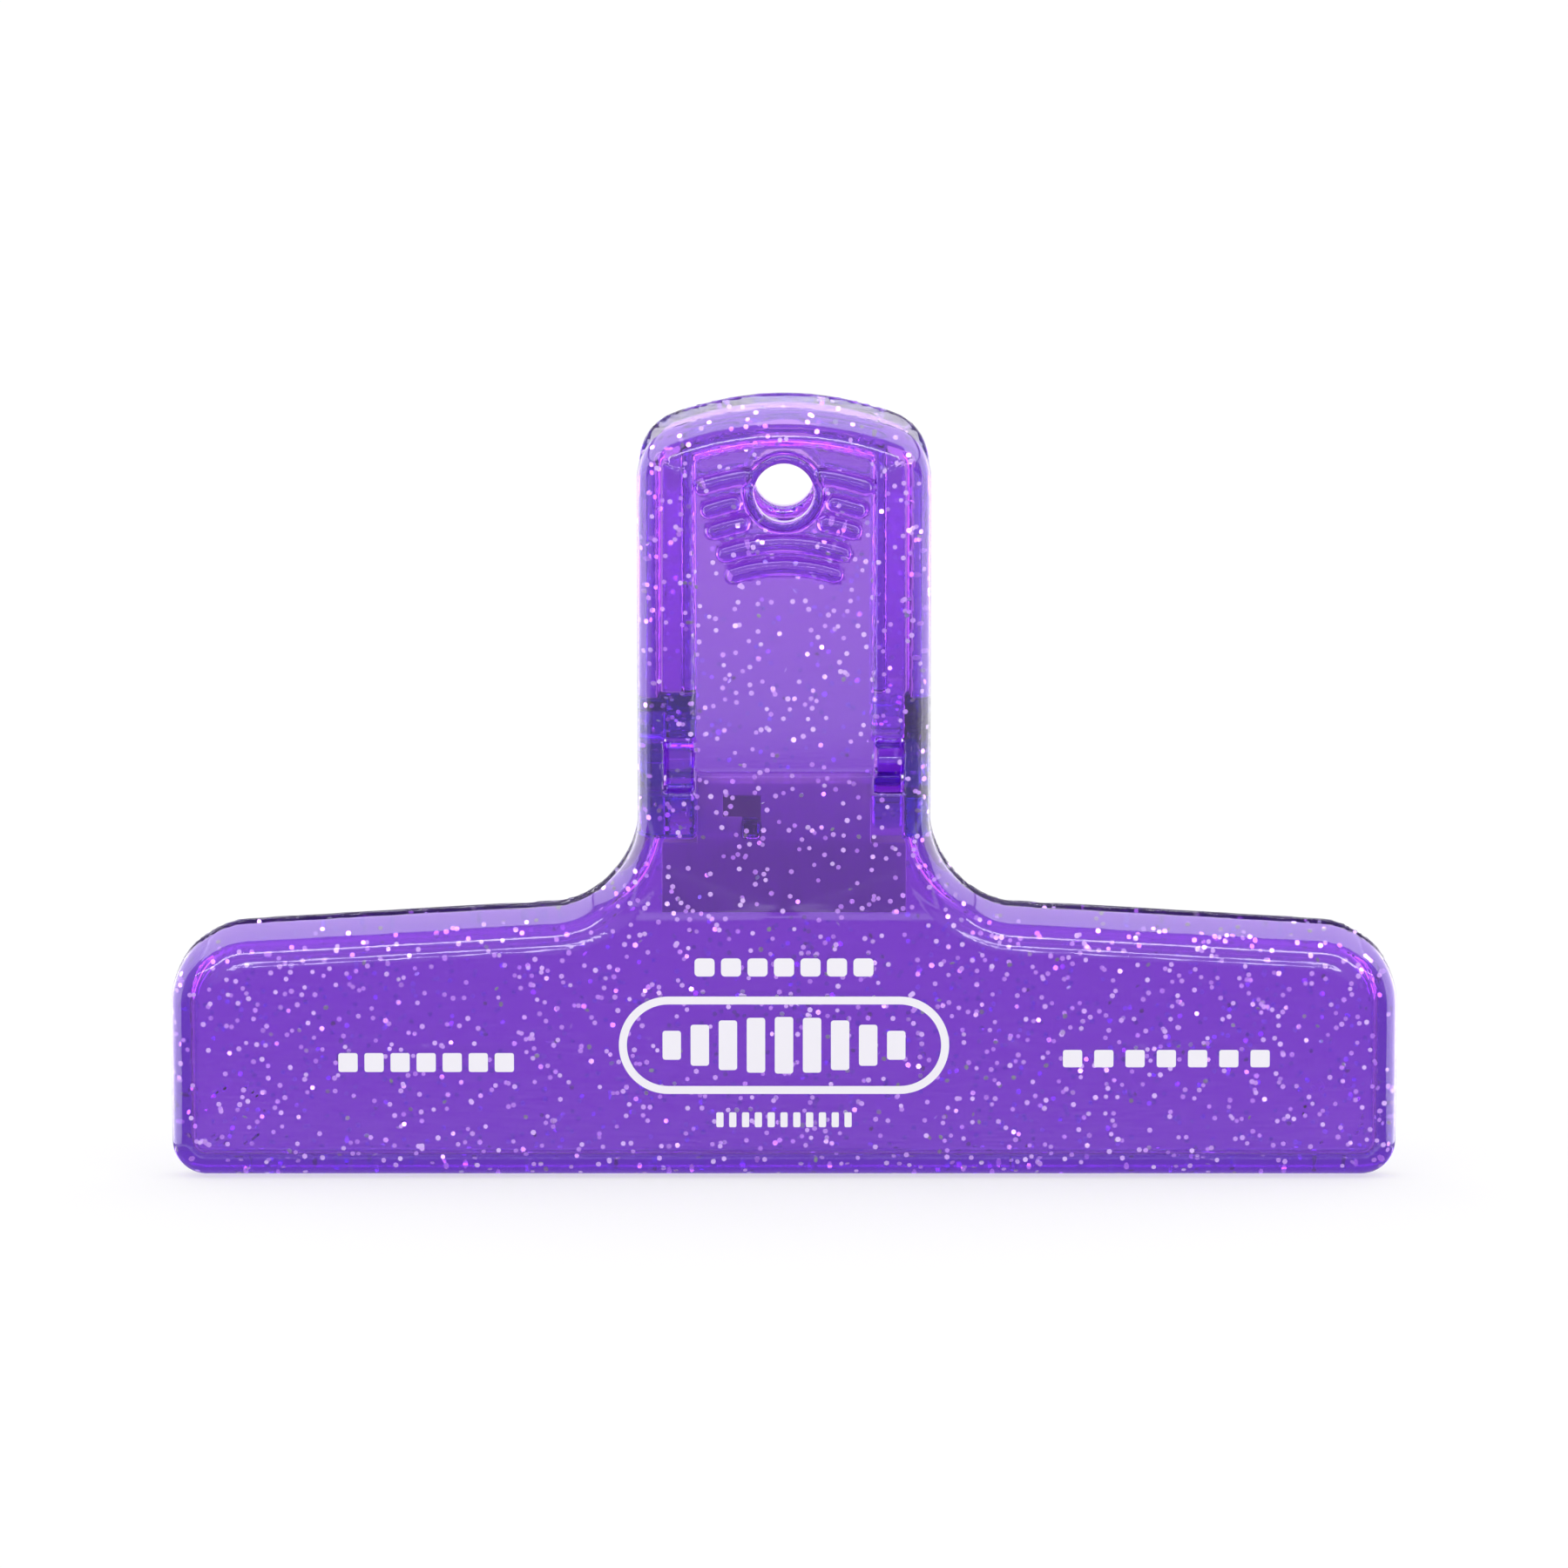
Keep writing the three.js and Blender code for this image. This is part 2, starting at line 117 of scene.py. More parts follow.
# Thumb recess, grip bars, hanging hole and ribs
RECESS_HALF_WIDTH, RECESS_BOTTOM_Z, RECESS_TOP_RADIUS, RECESS_CORNER = 11.25, 51.2, 35.8, 0.8
RECESS_LEAN = math.radians(1.9)  # the floor leaves the face at the bottom and sinks in
GRIP_BAR_WIDTH = 2.1
GRIP_BARS = (  # top radius, inner and outer end
    (21.7, 0.0, 7.3),
    (24.5, 0.0, 8.3),
    (27.6, 4.2, 9.6),
    (30.3, 5.2, 10.3),
    (33.3, 3.7, 11.1),
)
GRIP_BAR_ROUND, GRIP_BAR_FILLET = 0.95, 0.15
GRIP_BAR_RISE = 0.3  # how far the bars stand over the handle's face
HOLE_Z = 86.5
HOLE_RADIUS, HOLE_ROUND = 3.7, 0.5
RING_RADIUS, RING_RISE, RING_DEPTH = 4.9, 0.15, 6.0
RING_ROUND, RING_FILLET = 0.7, 0.35
RIB_X, RIB_Z, RIB_DEPTH, RIB_OVERLAP = (11.2, 12.5), (61.1, 91.4), 1.4, 0.5
ARC_RIB_RADIUS, ARC_RIB_THICKNESS = 37.0, 1.0
EJECTOR_X, EJECTOR_Z, EJECTOR_RADIUS = 68.6, 7.4, 3.7
EJECTOR_SINK, EJECTOR_ROUND = 0.12, 0.05

# Leaf spring
SPRING_THICKNESS = 0.6
SPRING_BEND_RADIUS, SPRING_BEND_Z = 1.5, 48.4
SPRING_ARM_LEAN = math.radians(22.8)
SPRING_KNEE = (3.9, 43.0)
SPRING_FOOT = (3.4, 33.4)
SPRING_BEND_WIDTH, SPRING_FOOT_WIDTH = 21.6, 30.4
SPRING_SHOULDER_Z = 42.0
SLOT_WIDE = ((-7.6, -2.9), (45.3, 47.7))
SLOT_NARROW = ((-5.2, -2.9), (42.8, 45.4))

# Print: a pill-shaped ring with upright bars in it, and rows of small marks
PILL_Z, PILL_HALF_WIDTH, PILL_HALF_HEIGHT, PILL_LINE = 16.6, 20.6, 6.2, 1.0
PILL_BAR_PITCH, PILL_BAR_HALF_HEIGHT, PILL_BAR_FALL = 3.5, 3.6, 0.11
PRINT_ROWS = (  # middle, height, marks, pitch, half width, half height, corner
    (0.0, 26.5, 7, 3.3, 1.25, 1.15, 0.5),
    (-44.65, 14.4, 7, 3.25, 1.2, 1.2, 0.3),
    (47.7, 14.9, 7, 3.9, 1.2, 1.1, 0.3),
    (0.0, 7.1, 11, 1.6, 0.45, 0.95, 0.2),
)
PRINT_LEVELS = (-0.02, 0.03)  # under and over the face

# Glitter
FLAKES_PER_JAW = 2100
FLAKE_RADIUS = (0.29, 0.36)
FLAKE_THICKNESS = 0.03
FLAKE_DEPTH = 0.2  # least depth of a flake's middle under the surface
FLAKE_TILT = 0.11  # how far most flakes lean from lying along the surface
LOOSE_SHARE, LOOSE_TILT = 0.06, 0.6  # a few lie at random

# Studio, in metres. The steps in the brightness of the surroundings are added up. Each runs
# between two heights of the direction of view, -1 to 1, from one value of light to another. The
# bright band below the horizon shows in the recess, and the dim ones beside it in other faces.
WORLD_STEPS = ((-0.355, -0.34, 0.0, 1.8), (-0.293, -0.28, 0.0, -1.8), (-0.22, -0.14, 0.5, 1.07))
FLOOR_REACH, FLOOR_Z = 8.0, -0.0004
TOP_PANEL = ("top_panel", (0, 0, 0.6), (0, 0, 0), (1.0, 0.7), 5)
FRONT_STRIP = ("front_strip", (0, -2.0, 0.5), (0, 0, 0.05), (1.6, 0.12), 12)
SIDE_PANELS = (
    ("left_panel", (-0.3, 0.15, 0.14), (0, 0.15, 0.14), (0.6, 0.4), 4),
    ("right_panel", (0.3, 0.15, 0.14), (0, 0.15, 0.14), (0.6, 0.4), 4),
)
CAMERA_LENS, CAMERA_SENSOR = 270, 36
CAMERA_RISE = math.radians(6.5)
CAMERA_AIM = Vector((0, 0, 48.9 * MM))
JAW_SHARE = 0.78167  # of the picture's width

# Mesh of the jaw
GRID_STEP = np.array((0.5, 0.36, 0.46))
GRID_LOW = np.array((-77.6, -16.2, -1.2))
GRID_HIGH = np.array((77.6, 5.4, 99.8))


# ------------------------------------------------------------ distance field


def round_and(a, b, radius):
    """The intersection of two solids, with its outer edge rounded."""
    return np.minimum(np.maximum(a, b), -radius) + np.hypot(
        np.maximum(a + radius, 0), np.maximum(b + radius, 0)
    )


def round_or(a, b, radius):
    """The union of two solids, with its inner corner filled by a round."""
    return -round_and(-a, -b, radius)


def round_cut(a, b, radius):
    """Solid a less solid b, with the new edge rounded."""
    return round_and(a, -b, radius)


def slab(value, limits):
    """Distance to a slab between two limits along one axis."""
    low, high = limits
    return np.abs(value - (low + high) / 2) - (high - low) / 2


def block(values, limits, radius=FINE):
    """A box with rounded edges: one value and one pair of limits for each axis."""
    solid = slab(values[0], limits[0])
    for value, pair in zip(values[1:], limits[1:]):
        solid = round_and(solid, slab(value, pair), radius)
    return solid


def smooth_step(low, high, value):
    share = np.clip((value - low) / (high - low), 0, 1)
    return share * share * (3 - 2 * share)


def jaw_outline(x, z):
    """Distance to the jaw's T outline."""
    x = np.abs(x)
    wing_top = (z - WING_TOP_Z + (x - WING_TOP_X) * math.tan(WING_SLOPE)) * math.cos(WING_SLOPE)
    wing = round_and(x - JAW_WIDTH / 2, wing_top, UPPER_CORNER)
    wing = round_and(wing, JAW_BOTTOM_Z - z, LOWER_CORNER)
    top = np.hypot(x, z - GRIP_CENTRE_Z) - HANDLE_TOP_RADIUS
    handle = round_and(x - HANDLE_WIDTH / 2, top, HANDLE_CORNER)
    handle = np.maximum(handle, NECK_FILLET - z)
    return round_or(wing, handle, NECK_FILLET)


def on_face(y, z, lean):
    """Level over a face that leans outward from the crease, and height along it."""
    out_y, out_z = y - CREASE_Y, z - CREASE_Z
    level = -out_y * math.cos(lean) - out_z * math.sin(lean)
    height = CREASE_Z + math.cos(lean) * (out_z * math.cos(lean) - out_y * math.sin(lean))
    return level, height


def facing_up(x, height):
    """How far the nearest edge of the outline faces up, from 0 to 1."""
    above, below = jaw_outline(x, height + UP_REACH), jaw_outline(x, height - UP_REACH)
    return smooth_step(*UP_LIMITS, (above - below) / (2 * UP_REACH))


def filled_jaw(x, y, z):
    """The moulding's outer form, not yet hollow, and the hollow inside it."""
    filled, hollow = None, None
    for lean in (JAW_LEAN, HANDLE_LEAN):
        level, height = on_face(y, z, lean)
        outline = jaw_outline(x, height)
        up = facing_up(x, height)
        edge_round = EDGE_ROUND + (TOP_EDGE_ROUND - EDGE_ROUND) * up
        edge = round_and(outline - TOP_EDGE_SHIFT * up, level - TOP_EDGE_RAISE * up, edge_round)
        edge = round_and(edge, outline, TOP_OUTER_ROUND * up)
        near = 1 - smooth_step(*TOP_EDGE_FADE, -outline - TOP_EDGE_WIDTH)
        outer = round_and(edge, level, TOP_RIDGE_ROUND * up * near)
        inner_round = INNER_ROUND + (TOP_INNER_ROUND - INNER_ROUND) * up
        inner = round_and(outline + RIM_THICKNESS, level + FACE_THICKNESS, inner_round)
        filled = outer if filled is None else round_or(filled, outer, CREASE_FILL)
        hollow = inner if hollow is None else round_or(hollow, inner, CREASE_FILL)
    return filled, hollow


def face_y(z):
    """The outer face's place in Y at a height on the handle."""
    return CREASE_Y - (z - CREASE_Z) * math.tan(HANDLE_LEAN)


def rim_side(y, z):
    """Distance past the rim's free edge, towards the other jaw."""
    heights = (-5.0, LIP_HEIGHT, CREASE_Z, 110.0)
    edge = (-LIP_GAP, -LIP_GAP, CREASE_Y + RIM_DEPTH, face_y(110.0) + RIM_DEPTH)
    return y - np.interp(z, heights, edge)


def ear_profile(y, z):
    """Side view of a hinge ear: rooted in the face, with a round end about the pivot."""
    round_end = np.hypot(y, z - PIVOT_Z) - EAR_RADIUS
    # Two straight flanks run from the round end to the root
    root_y = face_y(EAR_TOP_Z) + FACE_THICKNESS / 2
    upper = flank(y, z - PIVOT_Z, EAR_TOP_Z - PIVOT_Z, root_y)
    lower = flank(y, PIVOT_Z - z, PIVOT_Z - EAR_BOTTOM_Z, EAR_HEEL_Y)
    web = np.maximum(np.maximum(upper, lower), y - EAR_WEB_Y)
    web = np.maximum(web, face_y(z) + FACE_THICKNESS / 2 - y)
    return np.minimum(round_end, web)


def flank(y, rise, root_rise, root_y):
    """Distance outside the straight line from the round end to the ear's root."""
    end_y, end_rise = EAR_FLANK_END
    length = math.hypot(root_y - end_y, root_rise - end_rise)
    normal_y = (root_rise - end_rise) / length
    normal_rise = (end_y - root_y) / length
    line = (y - end_y) * normal_y + (rise - end_rise) * normal_rise
    return np.maximum(line, rise - root_rise)


def pivot_round(x, y, z, radius, limits, edge=FINE):
    """A cylinder along X about the pivot."""
    return round_and(np.hypot(y, z - PIVOT_Z) - radius, slab(x, limits), edge)


def grip_bar(x, height, radius, inner_x, outer_x):
    """Distance to a pill-ended arc bar, and to its mirror image, in the plane of the face."""
    half = GRIP_BAR_WIDTH / 2
    middle = radius - half
    along = np.abs(x)
    low_angle = math.asin((outer_x - half) / middle)
    high_angle = math.asin(max(inner_x + half, 0) / middle) if inner_x else -low_angle
    rise = height - GRIP_CENTRE_Z
    angle = np.clip(np.arctan2(along, rise), high_angle, low_angle)
    return np.hypot(along - middle * np.sin(angle), rise - middle * np.cos(angle)) - half


def recessed(solid, x, y, z):
    """Cuts the thumb recess and adds the grip bars and the ring round the hole."""
    level, height = on_face(y, z, HANDLE_LEAN)
    top = np.hypot(x, height - GRIP_CENTRE_Z) - RECESS_TOP_RADIUS
    panel = round_and(np.abs(x) - RECESS_HALF_WIDTH, top, RECESS_CORNER)
    panel = round_and(panel, RECESS_BOTTOM_Z - height, RECESS_CORNER)
    depth = np.maximum(height - RECESS_BOTTOM_Z, 0) * math.tan(RECESS_LEAN)
    solid = round_cut(solid, round_and(panel, -level - depth, SMALL), SOFT)
    base = np.maximum(level - GRIP_BAR_RISE, -level - FACE_THICKNESS)
    for bar in GRIP_BARS:
        pill = round_and(grip_bar(x, height, *bar), base, GRIP_BAR_ROUND)
        solid = round_or(solid, pill, GRIP_BAR_FILLET)
    ring = round_and(np.hypot(x, z - HOLE_Z) - RING_RADIUS, level - RING_RISE, RING_ROUND)
    return round_or(solid, np.maximum(ring, -level - RING_DEPTH), RING_FILLET)


def handle_ribs(x, y, z):
    """Two upright ribs joined by an arc rib, on the inside of the handle."""
    level, height = on_face(y, z, HANDLE_LEAN)
    depth = slab(level, (-FACE_THICKNESS - RIB_DEPTH, -FACE_THICKNESS + RIB_OVERLAP))
    upright = round_and(slab(np.abs(x), RIB_X), slab(height, RIB_Z), FINE)
    radius = np.hypot(x, height - GRIP_CENTRE_Z)
    arc = slab(radius, (ARC_RIB_RADIUS - ARC_RIB_THICKNESS, ARC_RIB_RADIUS))
    arc = np.maximum(np.maximum(arc, np.abs(x) - RIB_X[1]), GRIP_CENTRE_Z - height)
    return round_and(np.minimum(upright, arc), depth, SOFT)


def ejector_marks(x, y, z):
    """Shallow rounds that the mould's pins leave on the inside of the wings."""
    level, height = on_face(y, z, JAW_LEAN)
    disc = np.hypot(np.abs(x) - EJECTOR_X, height - EJECTOR_Z) - EJECTOR_RADIUS
    return np.maximum(disc, np.abs(level + FACE_THICKNESS) - EJECTOR_SINK)


def jaw_field(x, y, z):
    """The whole front jaw."""
    filled, hollow = filled_jaw(x, y, z)
    rim = rim_side(y, z)
    solid = round_cut(filled, hollow, SMALL)
    solid = recessed(solid, x, y, z)
    solid = round_or(solid, handle_ribs(x, y, z), SOFT)
    ear = ear_profile(y, z)
    solid = round_and(solid, rim, RIM_ROUND)
    root = round_and(round_and(ear, slab(x, SOCKET_ROOT), SOFT), y + ROOT_GAP, SOFT)
    solid = round_or(solid, root, SOFT)
    room = (-HANDLE_WIDTH, SOCKET_EAR[0] - 0.1)
    solid = round_cut(solid, pivot_round(x, y, z, EAR_RADIUS + EAR_CLEARANCE, room), SMALL)
    solid = round_or(solid, round_and(ear, slab(x, STUB_EAR), SOFT), SOFT)
    solid = round_or(solid, pivot_round(x, y, z, STUB_RADIUS, (STUB_END_X, STUB_EAR[1])), SOFT)
    solid = np.minimum(solid, round_and(ear, slab(x, SOCKET_EAR), SOFT))
    stem_y = (face_y(HOOK_Z[0]) + FACE_THICKNESS - 1, HOOK_HEAD_Y[1])
    solid = round_or(solid, block((x, y, z), (HOOK_STEM_X, stem_y, HOOK_Z)), FINE)
    solid = np.minimum(solid, block((x, y, z), (HOOK_HEAD_X, HOOK_HEAD_Y, HOOK_Z)))
    cut_x = (SOCKET_EAR[0] - 0.2, SOCKET_EAR[1] + 0.2)
    snap_z = (PIVOT_Z - SNAP_OPENING / 2, PIVOT_Z + SNAP_OPENING / 2)
    opening = block((x, y, z), (cut_x, (0, EAR_RADIUS + 2), snap_z))
    solid = round_cut(solid, pivot_round(x, y, z, SOCKET_RADIUS, cut_x), FINE)
    solid = round_cut(solid, opening, FINE)
    window = block((np.abs(x), y, z), (WINDOW_X, (-40, WINDOW_END_Y), WINDOW_Z), SOFT)
    solid = round_cut(solid, window, SMALL)
    solid = round_cut(solid, np.hypot(x, z - HOLE_Z) - HOLE_RADIUS, HOLE_ROUND)
    return round_cut(solid, ejector_marks(x, y, z), EJECTOR_ROUND)


# ------------------------------------------------------------ meshing

CORNERS = np.array([(i, j, k) for i in (0, 1) for j in (0, 1) for k in (0, 1)])


def gradient(field, points, reach=0.04):
    """The field's gradient at points, by central differences."""
    result = np.empty_like(points)
    for axis in range(3):
        step = np.zeros(3)
        step[axis] = reach
        ahead = field(*(points + step).T)
        behind = field(*(points - step).T)
        result[:, axis] = (ahead - behind) / (2 * reach)
    return result


def onto_surface(field, points, rounds=4, farthest=0.3):
    """Moves points onto the field's zero level."""
    for _ in range(rounds):
        value = field(*points.T)
        slope = gradient(field, points)
        size = np.maximum((slope**2).sum(1), 0.05)
        move = slope * (value / size)[:, None]
        length = np.linalg.norm(move, axis=1)
        move *= np.minimum(1, farthest / np.maximum(length, 1e-9))[:, None]
        points = points - move
    return points


def surface_net(field, low, high, step):
    """Quads round the zero level of a field: one point in each cell that it crosses."""
    axes = [np.arange(a, b + s, s) for a, b, s in zip(low, high, step)]
    values = field(*np.meshgrid(*axes, indexing="ij", sparse=True))
    inside = values < 0
    shape = np.array(values.shape) - 1
    count = np.zeros(shape, np.int8)
    for i, j, k in CORNERS:
        count += inside[i : i + shape[0], j : j + shape[1], k : k + shape[2]]
    cells = np.argwhere((count > 0) & (count < 8))
    number = np.full(shape, -1, np.int64)
    number[tuple(cells.T)] = np.arange(len(cells))

    total, weight = np.zeros((len(cells), 3)), np.zeros(len(cells))
    for first in CORNERS:
        for axis in range(3):
            if first[axis]:
                continue
            second = first.copy()
            second[axis] = 1
            a = values[tuple((cells + first).T)]
            b = values[tuple((cells + second).T)]
            crossed = (a < 0) != (b < 0)
            share = np.where(crossed, a / np.where(crossed, a - b, 1), 0)
            total[crossed] += (first + share[:, None] * (second - first))[crossed]
            weight += crossed
    points = low + (cells + total / weight[:, None]) * step

    quads = []
    for axis in range(3):
        side, other = [(1, 2), (2, 0), (0, 1)][axis]
        ends = np.array(values.shape)
        ends[axis] -= 1
        start = inside[tuple(slice(0, n) for n in ends)]
        shift = [slice(0, n) for n in ends]
        shift[axis] = slice(1, ends[axis] + 1)
        end = inside[tuple(shift)]
        edges = np.argwhere(start != end)
        outward = start[tuple(edges.T)]
        ring = []
        for back_side, back_other in ((1, 1), (0, 1), (0, 0), (1, 0)):
            cell = edges.copy()
            cell[:, side] -= back_side
            cell[:, other] -= back_other
            ring.append(number[tuple(cell.T)])
        ring = np.stack(ring, 1)
        ring[~outward] = ring[~outward][:, ::-1]
        quads.append(ring)
    return points, np.concatenate(quads)


def relax(field, points, quads, rounds=3):
    """Evens out the quads along the surface."""
    for _ in range(rounds):
        total = np.zeros_like(points)
        count = np.zeros(len(points))
        for corner in range(4):
            here, there = quads[:, corner], quads[:, (corner + 1) % 4]
            for a, b in ((here, there), (there, here)):
                np.add.at(total, a, points[b])
                np.add.at(count, a, 1)
        middle = total / count[:, None]
        normal = gradient(field, points)
        normal /= np.maximum(np.linalg.norm(normal, axis=1), 1e-9)[:, None]
        move = middle - points
        move -= normal * (move * normal).sum(1)[:, None]
        points = onto_surface(field, points + 0.5 * move, rounds=2)
    return points


def new_object(name, points, faces, normals=None):
    """A mesh object from points in millimetres."""
    mesh = bpy.data.meshes.new(name)
    mesh.from_pydata((np.asarray(points) * MM).tolist(), [], np.asarray(faces).tolist())
    mesh.shade_smooth()
    if normals is not None:
        mesh.normals_split_custom_set_from_vertices(normals.tolist())
    mesh.validate()
    made = bpy.data.objects.new(name, mesh)
    bpy.context.scene.collection.objects.link(made)
    return made


def half_turn(points):
    """Turns points half a turn about Z."""
    return points * np.array((-1.0, -1.0, 1.0))


# ------------------------------------------------------------ materials


class Nodes:
    """A material's node tree, with short calls to add and join nodes."""

    def __init__(self, name):
        self.material = bpy.data.materials.new(name)
        self.material.use_nodes = True
        self.tree = self.material.node_tree
        self.shader = self.tree.nodes["Principled BSDF"]
        self.output = self.tree.nodes["Material Output"]

    def add(self, kind, **values):
        node = self.tree.nodes.new(kind)
        for key, value in values.items():
            if key in node.inputs:
                node.inputs[key].default_value = value
            else:
                setattr(node, key, value)
        return node

    def join(self, source, target):
        self.tree.links.new(source, target)

    def set(self, **values):
        for key, value in values.items():
            self.shader.inputs[key.replace("_", " ")].default_value = value


def stretched_noise(nodes, scale, stretch, detail=3.0):
    """Noise in object space, drawn out along X."""
    place = nodes.add("ShaderNodeTexCoord")
    mapping = nodes.add("ShaderNodeMapping")
    mapping.inputs["Scale"].default_value = stretch
    noise = nodes.add("ShaderNodeTexNoise", Scale=scale, Detail=detail)
    nodes.join(place.outputs["Object"], mapping.inputs["Vector"])
    nodes.join(mapping.outputs["Vector"], noise.inputs["Vector"])
    return noise.outputs["Fac"]


def bump(nodes, height, distance, strength=1.0):
    node = nodes.add("ShaderNodeBump", Distance=distance, Strength=strength)
    nodes.join(height, node.inputs["Height"])
    nodes.join(node.outputs["Normal"], nodes.shader.inputs["Normal"])


def vary(nodes, source, low, high, socket):
    """Feeds a noise value, mapped to a range, into one of the shader's sockets."""
    span = nodes.add("ShaderNodeMapRange")
    span.inputs["From Min"].default_value = 0.3
    span.inputs["From Max"].default_value = 0.7
    span.inputs["To Min"].default_value = low
    span.inputs["To Max"].default_value = high
    nodes.join(source, span.inputs["Value"])
    nodes.join(span.outputs["Result"], nodes.shader.inputs[socket])


def clear_purple():
    """Slightly hazy purple plastic that takes up light along its path, with faint flow lines."""
    nodes = Nodes("clear_purple_plastic")
    nodes.set(Base_Color=(0.62, 0.38, 0.88, 1), IOR=1.49, Transmission_Weight=0.94)
    flow = stretched_noise(nodes, 2600.0, (0.12, 1.0, 1.0))
    vary(nodes, flow, 0.03, 0.1, "Roughness")
    bump(nodes, flow, 0.000004, 0.5)
    absorb = nodes.add("ShaderNodeVolumeAbsorption")
    density = 700.0
    taken = np.array((205.0, 510.0, 72.0))  # share of light taken up per metre
    absorb.inputs["Color"].default_value = (*(1 - taken / density), 1)
    absorb.inputs["Density"].default_value = density
    nodes.join(absorb.outputs["Volume"], nodes.output.inputs["Volume"])
    return nodes.material


def silver_flake():
    """Bright coated film. A faint glow stands in for the sparkle that small lights would give."""
    nodes = Nodes("silver_glitter")
    nodes.set(Metallic=1.0, Base_Color=(0.96, 0.96, 0.96, 1),
              Emission_Color=(0.6, 1.0, 0.55, 1), Emission_Strength=0.34)
    grain = stretched_noise(nodes, 900.0, (1.0, 1.0, 1.0), 1.0)
    vary(nodes, grain, 0.08, 0.25, "Roughness")
    return nodes.material


def white_ink():
    """Screen-printed white ink, slightly uneven."""
    nodes = Nodes("white_ink")
    nodes.set(Base_Color=(0.86, 0.84, 0.9, 1))
    film = stretched_noise(nodes, 1800.0, (1.0, 1.0, 1.0))
    vary(nodes, film, 0.35, 0.6, "Roughness")
    bump(nodes, film, 0.000008, 0.6)
    return nodes.material


def spring_steel():
    """Satin steel strip with fine rolling lines along its length."""
    nodes = Nodes("satin_spring_steel")
    nodes.set(Metallic=1.0, Base_Color=(0.62, 0.62, 0.65, 1))
    lines = stretched_noise(nodes, 3000.0, (1.0, 0.05, 0.05))
    vary(nodes, lines, 0.46, 0.6, "Roughness")
    bump(nodes, lines, 0.000006, 0.6)
    return nodes.material


# ------------------------------------------------------------ pieces


def make_jaws(material):
    """Both jaws from one field."""
    points, quads = surface_net(jaw_field, GRID_LOW, GRID_HIGH, GRID_STEP)
    points = onto_surface(jaw_field, points)
    points = relax(jaw_field, points, quads)
    normals = gradient(jaw_field, points, 0.06)
    normals /= np.maximum(np.linalg.norm(normals, axis=1), 1e-9)[:, None]
    jaws = [
        new_object("front_jaw_moulding", points, quads, normals),
        new_object("rear_jaw_moulding", half_turn(points), quads, half_turn(normals)),
    ]
    for jaw, side in zip(jaws, ("front", "rear")):
        jaw.data.materials.append(material)
        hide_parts(f"{side}_jaw")
        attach(jaw, f"{side}_half")


def flake_places(random, count):
    """Places inside the plastic for the middles of flakes, and the way each lies."""
    kept, lies = [], []
    while len(kept) < count:
        tries = random.uniform(GRID_LOW, GRID_HIGH, (40000, 3))
        depth = jaw_field(*tries.T)
        tries = tries[depth < -FLAKE_DEPTH]
        normal = gradient(jaw_field, tries)
        tilt = np.where(random.random((len(tries), 1)) < LOOSE_SHARE, LOOSE_TILT, FLAKE_TILT)
        normal += random.normal(0, 1, normal.shape) * tilt
        kept.extend(tries)
        lies.extend(normal)
    return np.array(kept[:count]), np.array(lies[:count])


def make_glitter(side, seed, material):
    """Thin six-sided flakes inside one jaw."""
    random = np.random.default_rng(seed)
    places, lies = flake_places(random, FLAKES_PER_JAW)
    corners = [math.radians(60 * i) for i in range(6)]
    points, faces = [], []
    for place, lie in zip(places, lies):
        turn = Vector(lie).to_track_quat("Z", "Y").to_matrix()
        spin = random.uniform(0, math.pi)
        radius = random.uniform(*FLAKE_RADIUS)
        first = len(points)
        for height in (-FLAKE_THICKNESS / 2, FLAKE_THICKNESS / 2):
            for corner in corners:
                local = (radius * math.cos(corner + spin), radius * math.sin(corner + spin), height)
                points.append(place + np.array(turn @ Vector(local)))
        faces.append([first + i for i in range(5, -1, -1)])
        faces.append([first + 6 + i for i in range(6)])
        for i in range(6):
            following = (i + 1) % 6
            faces.append([first + i, first + following, first + 6 + following, first + 6 + i])
    points = np.array(points)
    if side == "rear":
        points = half_turn(points)
    mesh = bpy.data.meshes.new(f"{side}_jaw_glitter")
    mesh.from_pydata((points * MM).tolist(), [], faces)
    glitter = bpy.data.objects.new(f"{side}_jaw_glitter", mesh)
    bpy.context.scene.collection.objects.link(glitter)
    glitter.data.materials.append(material)
    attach(glitter, f"{side}_half")


def spring_line():
    """Points along the bent strip's middle line in (Y, Z), from the rear foot to the front."""
    bend = [(SPRING_BEND_RADIUS * math.cos(a), SPRING_BEND_Z + SPRING_BEND_RADIUS * math.sin(a))
            for a in np.linspace(SPRING_ARM_LEAN, math.pi - SPRING_ARM_LEAN, 24)]
    corners = (SPRING_FOOT, SPRING_KNEE, bend[0])
    arm = []
    for (y, z), (next_y, next_z) in zip(corners, corners[1:]):
        arm += [(y + (next_y - y) * t, z + (next_z - z) * t) for t in np.arange(0, 1, 1 / 24)]
    # The knee is eased over its neighbours
    for _ in range(12):
        middle = [((a[0] + 2 * b[0] + c[0]) / 4, (a[1] + 2 * b[1] + c[1]) / 4)
                  for a, b, c in zip(arm, arm[1:], arm[2:])]
        arm = [arm[0], *middle, arm[-1]]
    return arm + bend + [(-y, z) for y, z in reversed(arm)]


def in_slot(x, y, z):
    """Whether a place on the strip lies in the slot punched in its arm."""
    if y > 0:
        x = -x
    for (low_x, high_x), (low_z, high_z) in (SLOT_WIDE, SLOT_NARROW):
        if low_x < x < high_x and low_z < z < high_z:
            return abs(y) > 1
    return False


